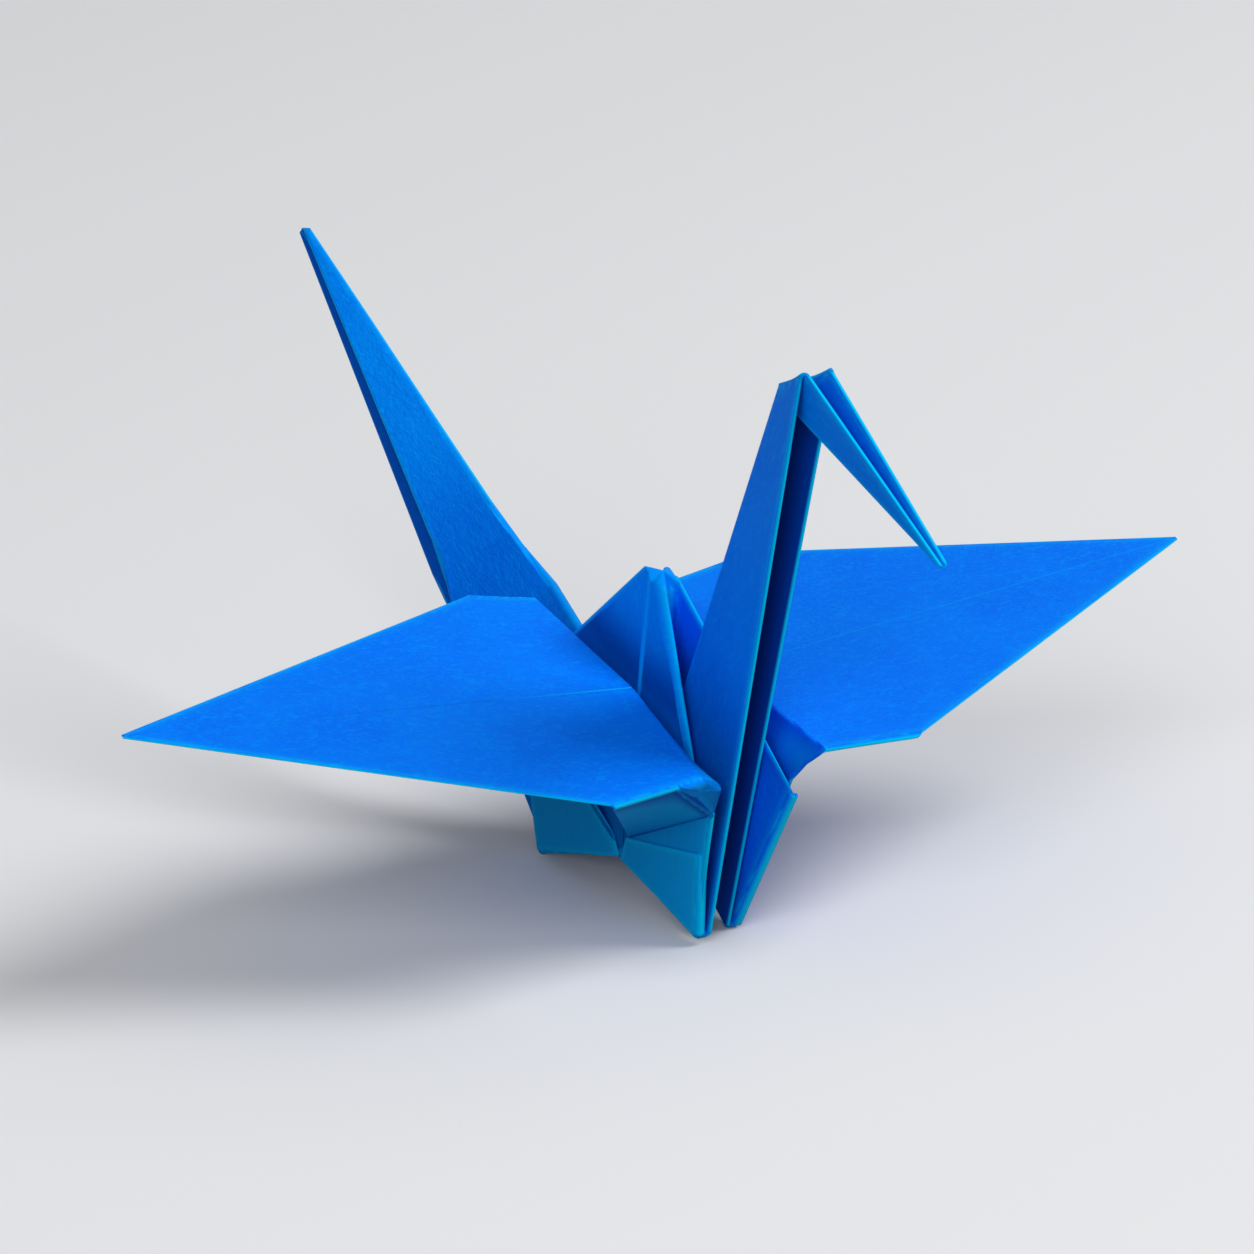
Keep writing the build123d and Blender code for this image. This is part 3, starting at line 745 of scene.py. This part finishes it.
def facetGrid(corners):
    # Ruled surface (1-s)F + sG between the edge F from the first corner to the last and the facing edge G.
    # A three-cornered facet has its last corner twice, and a five-cornered one has a bend in G.
    if len(corners) == 3:
        corners = np.vstack([corners, corners[2]])
    fromEdge = alongEdge(corners, len(corners) - 1)[::-1]
    toEdge = alongEdge(corners, 1)
    if len(corners) == 5:
        toEdge = np.vstack([toEdge, alongEdge(corners, 2)[1:]])
    s = spread[:, None, None]
    return (1 - s) * fromEdge + s * toEdge


for facet in facets:
    grid = facetGrid(facet["points"])
    addPatch(grid, facetGrid(facet["flat"]), shadedFinish(facet, grid))

# A fold leaves one facet and arrives at the next. Its pull is how far it keeps each direction.
pullLimit = {"fold": 0.9, "hinge": 0.6, "twist": 5.0}


def pullOf(facet, i):
    # The direction in which the paper leaves a facet over its edge i
    start, end = edgeEnds(facet, "points", i)
    return unit(np.cross(unit(end - start), facet["normal"]))


def foldStrip(a, b, pullA, pullB, limit):
    # Cubic curves from edge a to edge b, leaving along pullA and arriving against pullB, with k from 0 to 1:
    # a (1-k)^3 + 3 leave (1-k)^2 k + 3 arrive (1-k) k^2 + b k^3. The pull to the points leave and arrive is
    # that of a circular arc, gap * 4/3 tan(turn/4) / (2 sin(turn/2)), held under the limit.
    gap = np.linalg.norm(b - a, axis=1)
    turn = np.arccos(np.clip(-np.dot(pullA, pullB), -1, 1))
    pull = gap / 3 if turn < 0.05 else gap * 4 / 3 * np.tan(turn / 4) / (2 * np.sin(turn / 2))
    pull = np.minimum(pull, limit)[:, None, None]
    k = np.linspace(0, 1, sheet["rimSteps"] + 1)[None, :, None]
    a, b = a[:, None, :], b[:, None, :]
    leave, arrive = a + pullA * pull, b + pullB * pull
    return a * (1 - k) ** 3 + leave * 3 * (1 - k) ** 2 * k + arrive * 3 * (1 - k) * k ** 2 + b * k ** 3


def stripFinishAndLight(one, two, pair, strip):
    # From the finish and painted light of one facet to that of the next, with k from 0 to 1 over the fold,
    # which is painted pale, as wear and highlight, by its wear * sin^2(pi k)
    k = np.linspace(0, 1, sheet["rimSteps"] + 1)
    arch = np.sin(np.pi * k)
    finishAndLight = np.tile(mix(finishAndLightAt(one), finishAndLightAt(two), k[:, None]), (len(strip), 1, 1))
    finishAndLight[..., 0] = (0.0 if isTwist(one, two) else wearAndHighlightOf(pair)) * arch ** 2
    if set(pair) in ({"Y", "Z"}, {"Pf", "Y"}):  # the tucked corner gets painted shade
        atLeast(finishAndLight, "paintedShade", arch)
    # the tail's folds get the same painted pale and painted shade
    if one["region"] == two["region"] == "tail":
        if one["layer"] + two["layer"] == 0:
            atLeast(finishAndLight, "fold", tailWearAndLight(strip))
        atLeast(finishAndLight, "paintedShade", tailShade(strip))
    # the far hinge is painted a deeper blue with painted shade
    if set(pair) <= hingeCorners and one["side"] > 0:
        finishAndLight[..., 2] = wearAndPaintedLight["farHingePaintedTint"]
        atLeast(finishAndLight, "paintedShade", wearAndPaintedLight["farHingeShade"])
    # the near wing's middle crease gets painted highlight near the body and painted shade further out
    if set(pair) == {"A", "Hc"} and one["side"] < 0:
        fromTip = np.linspace(*((0, 1) if pair[0] == "A" else (1, 0)), len(strip))[:, None]
        pale = np.clip((fromTip - wearAndPaintedLight["wingPaleFrom"]) * wearAndPaintedLight["wingPaleSlope"], 0, 1)
        dark = np.exp(-((fromTip - wearAndPaintedLight["wingDarkAt"]) / wearAndPaintedLight["wingDarkReach"]) ** 2)
        finishAndLight[..., 0] = wearAndPaintedLight["wingPale"] * pale * arch
        finishAndLight[..., 3] = wearAndPaintedLight["wingDark"] * dark * arch
    return finishAndLight


# For a facet and its edge away from a corner: the next facet round that corner, and the strip's end
endRows = {}
for users in creases.values():
    if len(users) != 2:
        continue
    (first, i), (second, j) = users
    one, two = facets[first], facets[second]
    start, end = edgeEnds(one, "names", i)
    pair = edgeEnds(one, "plain", i)
    kind = "twist" if isTwist(one, two) else "hinge" if set(pair) <= hingeCorners else "fold"
    edges = alongEdge(one["points"], i), alongEdge(two["points"], j)[::-1]
    strip = foldStrip(*edges, pullOf(one, i), pullOf(two, j), pullLimit[kind])
    k = np.linspace(0, 1, sheet["rimSteps"] + 1)[None, :, None]
    fibres = mix(alongEdge(one["flat"], i)[:, None, :], alongEdge(two["flat"], j)[::-1, None, :], k)
    addPatch(strip[:, ::-1], fibres[:, ::-1], stripFinishAndLight(one, two, pair, strip)[:, ::-1])
    endRows[(first, start, end)] = (second, np.c_[strip[0], fibres[0]])
    endRows[(second, end, start)] = (first, np.c_[strip[-1][::-1], fibres[-1][::-1]])
print("folds swept:", len(patches) - len(facets))


def edgeAway(number, name):
    # The edge by which a facet's outline leaves a corner, as a key of endRows
    names = facets[number]["names"]
    return number, name, names[(names.index(name) + 1) % len(names)]


def ringRound(name, users):
    # Ends of the strips round a corner where creases meet, or nothing where the sheet has an edge there
    number, rows = users[0], []
    while edgeAway(number, name) in endRows:
        number, row = endRows[edgeAway(number, name)]
        rows.append(row)
        if number == users[0]:
            return rows
    return []


def openRow(name, users):
    # Ends of the strips round a corner of the sheet, from raw edge to raw edge
    reached = {endRows[edgeAway(user, name)][0] for user in users if edgeAway(user, name) in endRows}
    number = next(user for user in users if user not in reached)
    rows = []
    while edgeAway(number, name) in endRows:
        number, row = endRows[edgeAway(number, name)]
        rows.append(row[1:] if rows else row)
    return np.vstack(rows)


def addCap(row, hub, finishAndLight):
    # Closes a row of points with rings that shrink evenly to a hub
    inward = np.linspace(0, 1, sheet["capRings"] + 1)[:, None, None]
    cap = row[None] * (1 - inward) + hub * inward
    addPatch(cap[..., :3], cap[..., 3:], finishAndLight)


# The facets at each named corner of the paper
meeting = {}
for number, facet in enumerate(facets):
    for name in facet["names"]:
        meeting.setdefault(name, []).append(number)

# Caps where several creases meet
for name, users in meeting.items():
    rows = ringRound(name, users) if len(users) > 2 else []
    if not rows:
        continue
    middles = np.array([row[len(row) // 2] for row in rows])
    ends = np.array([row[0] for row in rows])
    hub = middles.mean(axis=0) * (1 + sheet["capBulge"]) - ends.mean(axis=0) * sheet["capBulge"]
    if name == "C":  # the crown is flat
        hub[2] = np.max(middles[:, 2]) - body["crownSag"]
    # a cap is painted pale as wear and highlight and takes its facets' painted shade; a tucked corner's cap
    # gets painted shade
    finishAndLight = np.mean([finishAndLightAt(facets[user]) for user in users], axis=0)
    finishAndLight[0] = wearAndPaintedLight["cap"]
    if name[:2] in ("Yw", "Yf", "Zw", "Zf", "X2"):
        finishAndLight[0] = 0.0
        atLeast(finishAndLight, "paintedShade", wearAndPaintedLight["tuckShade"])
    addCap(np.vstack([row[:-1] for row in rows] + [rows[0][:1]]), hub, finishAndLight)

# At the tips of beak and tail the pleats end in one corner of the sheet, this much further out
tipReach = {"Bf": 0.3, "Bb": 0.6}
for name, reach in tipReach.items():
    row = openRow(name, meeting[name])
    base = np.mean([facets[user]["points"].mean(axis=0) for user in meeting[name]], axis=0)
    hub = row.mean(axis=0)
    hub[:3] += reach * unit(hub[:3] - base)
    # the tip is painted pale as wear and highlight, with painted shade
    finishAndLight = finishAndLightAt(facets[meeting[name][0]])
    finishAndLight[0], finishAndLight[3] = wearAndPaintedLight["tip"], wearAndPaintedLight["tipShade"]
    addCap(row, hub, finishAndLight)
print("patches of paper:", len(patches))


def gridFaces(rows, columns, first):
    # Four-cornered faces of a grid of points, counted row by row from the first
    r, c = np.meshgrid(np.arange(rows - 1), np.arange(columns - 1), indexing="ij")
    at = first + r * columns + c
    return np.stack([at, at + columns, at + columns + 1, at + 1], axis=-1).reshape(-1, 4)


def addAttributes(mesh, columns):
    # One value for each point of the mesh, under each name
    for name, values in columns.items():
        mesh.attributes.new(name, "FLOAT", "POINT").data.foreach_set("value", values.astype(np.float32))


def readArray(owner, name, width, kind):
    # All values of one property, as rows of the given width
    values = np.zeros(len(owner) * width, dtype=kind)
    owner.foreach_get(name, values)
    return values.reshape(-1, width) if width > 1 else values


# All the patches are joined into one middle surface
pointNames = ("fibreU", "fibreV") + finishAndLightNames
allPoints = np.vstack([patch.reshape(-1, 3 + len(pointNames)) for patch in patches])
starts = np.cumsum([0] + [patch.shape[0] * patch.shape[1] for patch in patches])
allFaces = np.vstack([gridFaces(*patch.shape[:2], start) for patch, start in zip(patches, starts)])
rough = bpy.data.meshes.new("middleSurface")
rough.from_pydata(allPoints[:, :3], [], allFaces)
addAttributes(rough, dict(zip(pointNames, allPoints[:, 3:].T)))
joined = bmesh.new()
joined.from_mesh(rough)
bmesh.ops.remove_doubles(joined, verts=joined.verts, dist=sheet["weld"])
bmesh.ops.dissolve_degenerate(joined, dist=sheet["sliver"], edges=joined.edges)
bmesh.ops.triangulate(joined, faces=joined.faces)
joined.to_mesh(rough)
joined.free()
middle = readArray(rough.vertices, "co", 3, np.float32).astype(float)
values = {name: readArray(rough.attributes[name].data, "value", 1, np.float32) for name in pointNames}
triangles = readArray(rough.polygons, "vertices", 3, np.int32)
print("middle surface:", len(middle), "points,", len(triangles), "triangles")


def facesAcross(points, faces):
    # Cross product of the two edges from the first corner of each face: its normal, as long as twice its area
    first, second, third = points[faces[:, 0]], points[faces[:, 1]], points[faces[:, 2]]
    return np.cross(second - first, third - first)


# Thickness: each point moves half a thickness along the area-weighted normal to either side
normals = np.zeros_like(middle)
triangleNormals = facesAcross(middle, triangles)
for corner in range(3):
    np.add.at(normals, triangles[:, corner], triangleNormals)
normals = unitRows(normals)
half = sheet["thickness"] / 2
skin = np.vstack([middle + normals * half, middle - normals * half])

# The sheet's own edges belong to one triangle each, and get a wall
count = len(middle)
sides = np.vstack([triangles[:, [0, 1]], triangles[:, [1, 2]], triangles[:, [2, 0]]]).astype(np.int64)
sideKey, oppositeKey = sides[:, 0] * count + sides[:, 1], sides[:, 1] * count + sides[:, 0]
free = sides[~np.isin(sideKey, oppositeKey)]
walls = np.stack([free[:, 1], free[:, 0], free[:, 0] + count, free[:, 1] + count], axis=1)
walls = np.vstack([walls[:, [0, 1, 2]], walls[:, [0, 2, 3]]])
faces = np.vstack([triangles, triangles[:, ::-1] + count, walls])

# The crane stands on the floor, centred as its solid is
low, high = skin.min(axis=0), skin.max(axis=0)
shift = spot(-(low[0] + high[0]) / 2, -(low[1] + high[1]) / 2, -low[2])
print("own box", low, high, "shift", shift)

crane = bpy.data.meshes.new("foldedPaper")
crane.from_pydata((skin + shift) * millimetre, [], faces)
addAttributes(crane, {name: np.tile(value, 2) for name, value in values.items()})
crane.shade_smooth()
cornerNormals = np.vstack([normals, -normals])[faces.reshape(-1)]
cornerNormals[-3 * len(walls):] = np.repeat(unitRows(facesAcross(skin, walls)), 3, axis=0)
crane.normals_split_custom_set(cornerNormals)
paperCrane = bpy.data.objects.new("foldedPaper", crane)
bpy.context.scene.collection.objects.link(paperCrane)
print("crane made:", len(faces), "triangles")

# Paper finish: a saturated blue with wavy fibres, painted pale on its folded edges as wear and highlight,
# with painted tints and painted shade
paperLook = {
    "blue": (0.0, 0.185, 0.95, 1),
    "deepBlue": (0.0, 0.155, 0.90, 1),
    "fibreBlue": (0.0, 0.30, 1.0, 1),
    # painted tints for the light: a greener blue where flanks and underparts are lit from below, and a purer,
    # deeper blue on gusset, far flank and far hinge
    "paintedBounceBlue": (0.0, 0.30, 0.78, 1),
    "paintedDeepBlue": (0.0, 0.07, 0.90, 1),
    # colour of the painted shade in pleats, grooves and under edges
    "paintedShadeBlue": (0.0, 0.05, 0.40, 1),
    "wornHighlightBlue": (0.0, 0.60, 1.0, 1),
    "sheen": (0.0, 0.5, 1.0, 1),
    "roughness": 0.65,
    "specular": 0.1,
    "longGrain": (0.45, 0.0),  # the way along the sheet counts this much, so fibres are longer that way
    "plainGrain": (0.8, 5.0),  # and the pattern is taken this far off the sheet's plane
    "fine": {"Scale": 1.9, "Detail": 4.0, "Roughness": 0.6, "Distortion": 1.4},
    "hairs": {"Scale": 0.8, "Detail": 3.0, "Roughness": 0.55, "Distortion": 2.2},
    "mottle": {"Scale": 0.12, "Detail": 3.0, "Roughness": 0.6},
    "crumple": {"Scale": 1.3, "Detail": 3.0, "Roughness": 0.55, "Distortion": 1.0},
    "hairWidth": 0.014,
    "fineRange": (0.5, 0.7),  # noise values between which the colour changes
    "mottleRange": (0.35, 0.7),
    "fineShare": 0.6,
    "hairShare": 0.5,
    "wornHighlightShare": 0.95,
    "fineHeight": 0.6,
    "hairHeight": 0.3,
    "crumpleHeight": 4.5,
    "bumpStrength": 0.6,
    "bumpDistance": 0.00008,
}


class NodeDesk:
    # Adds nodes to a material or world and links them by socket names
    def __init__(self, owner):
        owner.use_nodes = True
        self.tree = owner.node_tree
        self.tree.nodes.clear()

    def add(self, kind, inputs=None, **settings):
        node = self.tree.nodes.new(kind)
        for key, value in settings.items():
            setattr(node, key, value)
        for key, value in (inputs or {}).items():
            if isinstance(value, bpy.types.NodeSocket):
                self.tree.links.new(value, node.inputs[key])
            else:
                node.inputs[key].default_value = value
        return node

    def math(self, operation, a, b=0.0):
        return self.add("ShaderNodeMath", {0: a, 1: b}, operation=operation).outputs[0]

    def blend(self, factor, a, b):
        return self.add("ShaderNodeMix", {0: factor, 6: a, 7: b}, data_type="RGBA").outputs[2]

    def between(self, value, low, high, toLow=0.0, toHigh=1.0):
        return self.add("ShaderNodeMapRange", {0: value, 1: low, 2: high, 3: toLow, 4: toHigh}).outputs[0]

    def attribute(self, name):
        return self.add("ShaderNodeAttribute", attribute_name=name).outputs["Fac"]

    def grain(self, share, off):
        # Places on the flat sheet: a share of the way along it, the way across it, and off its plane
        along = self.math("MULTIPLY", self.attribute("fibreV"), share)
        return self.add("ShaderNodeCombineXYZ", {0: along, 1: self.attribute("fibreU"), 2: off}).outputs[0]

    def noise(self, vector, name):
        return self.add("ShaderNodeTexNoise", {"Vector": vector, **paperLook[name]}).outputs[0]

    def surface(self, colour, roughness, specular, others=None):
        # The last two nodes of a material
        inputs = {"Base Color": colour, "Roughness": roughness, "Specular IOR Level": specular}
        shader = self.add("ShaderNodeBsdfPrincipled", {**inputs, **(others or {})})
        self.add("ShaderNodeOutputMaterial", {"Surface": shader.outputs[0]})

    def seenDirectly(self):
        # 1 for what the camera sees, also in a reflection or through glass
        seen = self.add("ShaderNodeLightPath").outputs
        indirect = self.math("MAXIMUM", seen["Is Glossy Ray"], seen["Is Transmission Ray"])
        return self.math("MAXIMUM", seen["Is Camera Ray"], indirect)


def makePaper():
    # Noise over the flat sheet gives fibres, hairs and crumples, and the attributes lay on the painted tints,
    # the painted shade, and the pale of wear and painted highlight
    paper = bpy.data.materials.new("fibrousBluePaper")
    desk = NodeDesk(paper)
    longGrain, plainGrain = desk.grain(*paperLook["longGrain"]), desk.grain(*paperLook["plainGrain"])
    fine, hairs = desk.noise(longGrain, "fine"), desk.noise(longGrain, "hairs")
    mottle, crumple = desk.noise(plainGrain, "mottle"), desk.noise(plainGrain, "crumple")
    hairLine = desk.math("ABSOLUTE", desk.math("SUBTRACT", hairs, 0.5))
    hairLine = desk.between(hairLine, 0.0, paperLook["hairWidth"], 1.0, 0.0)
    fineLine = desk.between(fine, *paperLook["fineRange"])
    paintedTint = desk.attribute("paintedTint")
    layers = [  # each colour lies over those before it by its factor
        (desk.math("MULTIPLY", fineLine, paperLook["fineShare"]), "fibreBlue"),
        (desk.math("MULTIPLY", hairLine, paperLook["hairShare"]), "fibreBlue"),
        (desk.math("MAXIMUM", paintedTint, 0.0), "paintedBounceBlue"),
        (desk.math("MAXIMUM", desk.math("MULTIPLY", paintedTint, -1.0), 0.0), "paintedDeepBlue"),
        (desk.math("MAXIMUM", desk.attribute("paintedShade"), 0.0), "paintedShadeBlue"),
        (desk.math("MULTIPLY", desk.attribute("fold"), paperLook["wornHighlightShare"]), "wornHighlightBlue"),
    ]
    patchy = desk.between(mottle, *paperLook["mottleRange"])
    colour = desk.blend(patchy, paperLook["blue"], paperLook["deepBlue"])
    for factor, name in layers:
        colour = desk.blend(factor, colour, paperLook[name])
    fineHeight = desk.math("MULTIPLY", fine, paperLook["fineHeight"])
    height = desk.math("ADD", fineHeight, desk.math("MULTIPLY", hairLine, paperLook["hairHeight"]))
    crumpleHeight = desk.math("MULTIPLY", desk.attribute("crinkle"), paperLook["crumpleHeight"])
    height = desk.math("ADD", height, desk.math("MULTIPLY", crumple, crumpleHeight))
    bump = desk.add("ShaderNodeBump", {
        "Strength": paperLook["bumpStrength"], "Distance": paperLook["bumpDistance"], "Height": height})
    desk.surface(colour, paperLook["roughness"], paperLook["specular"], {
        "Specular Tint": paperLook["sheen"], "Normal": bump.outputs[0]})
    return paper


crane.materials.append(makePaper())
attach(paperCrane, "root")
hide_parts("folded_sheet")
print("paper finished")

# Pale floor and soft studio light, in metres and watts
studio = {
    "floorReach": 4.0,
    "floorLines": 9,  # of its grid, each way
    "floorPale": (0.82, 0.83, 0.85, 1),
    "floorBounce": (0.42, 0.42, 0.36, 1),
    "floorRoughness": 0.9,
    "floorSpecular": 0.1,
    "worldStrength": 0.25,
    "worldSeen": 0.9,
    "keyPower": 12.5,
    "keyPlace": (0.85, -0.45, 1.0),
    "keySize": 0.7,
    "fillPower": 8.0,
    "fillPlace": (-0.8, -0.8, 0.8),
    "fillSize": 0.9,
}


def standingAt(place, right, up, back):
    # Where a lamp or camera stands and how it is turned
    return Matrix(np.vstack([np.c_[right, up, back, place], [0, 0, 0, 1]]).tolist())


def makeFloor():
    # A flat square: (x, y, 0) over a grid of x and y
    line = np.linspace(-studio["floorReach"], studio["floorReach"], studio["floorLines"])
    x, y = np.meshgrid(line, line, indexing="ij")
    points = np.stack([x, y, np.zeros_like(x)], axis=-1).reshape(-1, 3)
    mesh = bpy.data.meshes.new("floor")
    mesh.from_pydata(points, [], gridFaces(*x.shape, 0))
    paleFloor = bpy.data.materials.new("paleFloor")
    desk = NodeDesk(paleFloor)
    colour = desk.blend(desk.seenDirectly(), studio["floorBounce"], studio["floorPale"])
    desk.surface(colour, studio["floorRoughness"], studio["floorSpecular"])
    mesh.materials.append(paleFloor)
    floor = bpy.data.objects.new("floor", mesh)
    bpy.context.scene.collection.objects.link(floor)


def makeWorld():
    # An even white room, brighter where it is seen than where it lights
    world = bpy.data.worlds.new("softRoom")
    bpy.context.scene.world = world
    desk = NodeDesk(world)
    levels = {0: desk.seenDirectly(), 2: studio["worldStrength"], 3: studio["worldSeen"]}
    strength = desk.add("ShaderNodeMix", levels, data_type="FLOAT").outputs[0]
    back = desk.add("ShaderNodeBackground", {"Color": (1, 1, 1, 1), "Strength": strength})
    desk.add("ShaderNodeOutputWorld", {"Surface": back.outputs[0]})


def makeSoftLamp(name):
    # A round soft lamp that faces the crane
    lamp = bpy.data.lights.new(name + "Lamp", "AREA")
    lamp.shape = "DISK"
    lamp.size = studio[name + "Size"]
    lamp.energy = studio[name + "Power"]
    holder = bpy.data.objects.new(name + "Lamp", lamp)
    place = spot(*studio[name + "Place"])
    back = unit(place)
    right = unit(np.cross(spot(0, 1, 0), back))
    holder.matrix_world = standingAt(place, right, np.cross(back, right), back)
    bpy.context.scene.collection.objects.link(holder)


makeFloor()
makeWorld()
makeSoftLamp("key")
makeSoftLamp("fill")

# Camera fitted to the photograph: where it stands, and its right, up and back directions
view = {
    "place": (-349.63, -565.06, 292.75),
    "right": (0.85989, -0.50972, 0.02782),
    "up": (0.16613, 0.33096, 0.92891),
    "back": (-0.48269, -0.79414, 0.36927),
    "sensor": 36.0,
    "focalPixels": 7206.3,  # focal length in pixels of the photograph
    "photoPixels": 1254,
    "clip": (0.01, 20.0),
}


def makeCamera():
    camera = bpy.data.cameras.new("photoCamera")
    camera.sensor_fit = "HORIZONTAL"
    camera.sensor_width = view["sensor"]
    camera.lens = view["sensor"] * (view["focalPixels"] / view["photoPixels"])
    camera.clip_start, camera.clip_end = view["clip"]
    holder = bpy.data.objects.new("photoCamera", camera)
    place = (spot(*view["place"]) + shift) * millimetre
    holder.matrix_world = standingAt(place, view["right"], view["up"], view["back"])
    bpy.context.scene.collection.objects.link(holder)
    bpy.context.scene.camera = holder


makeCamera()
bpy.context.scene.view_settings.view_transform = "Standard"
print("studio set")
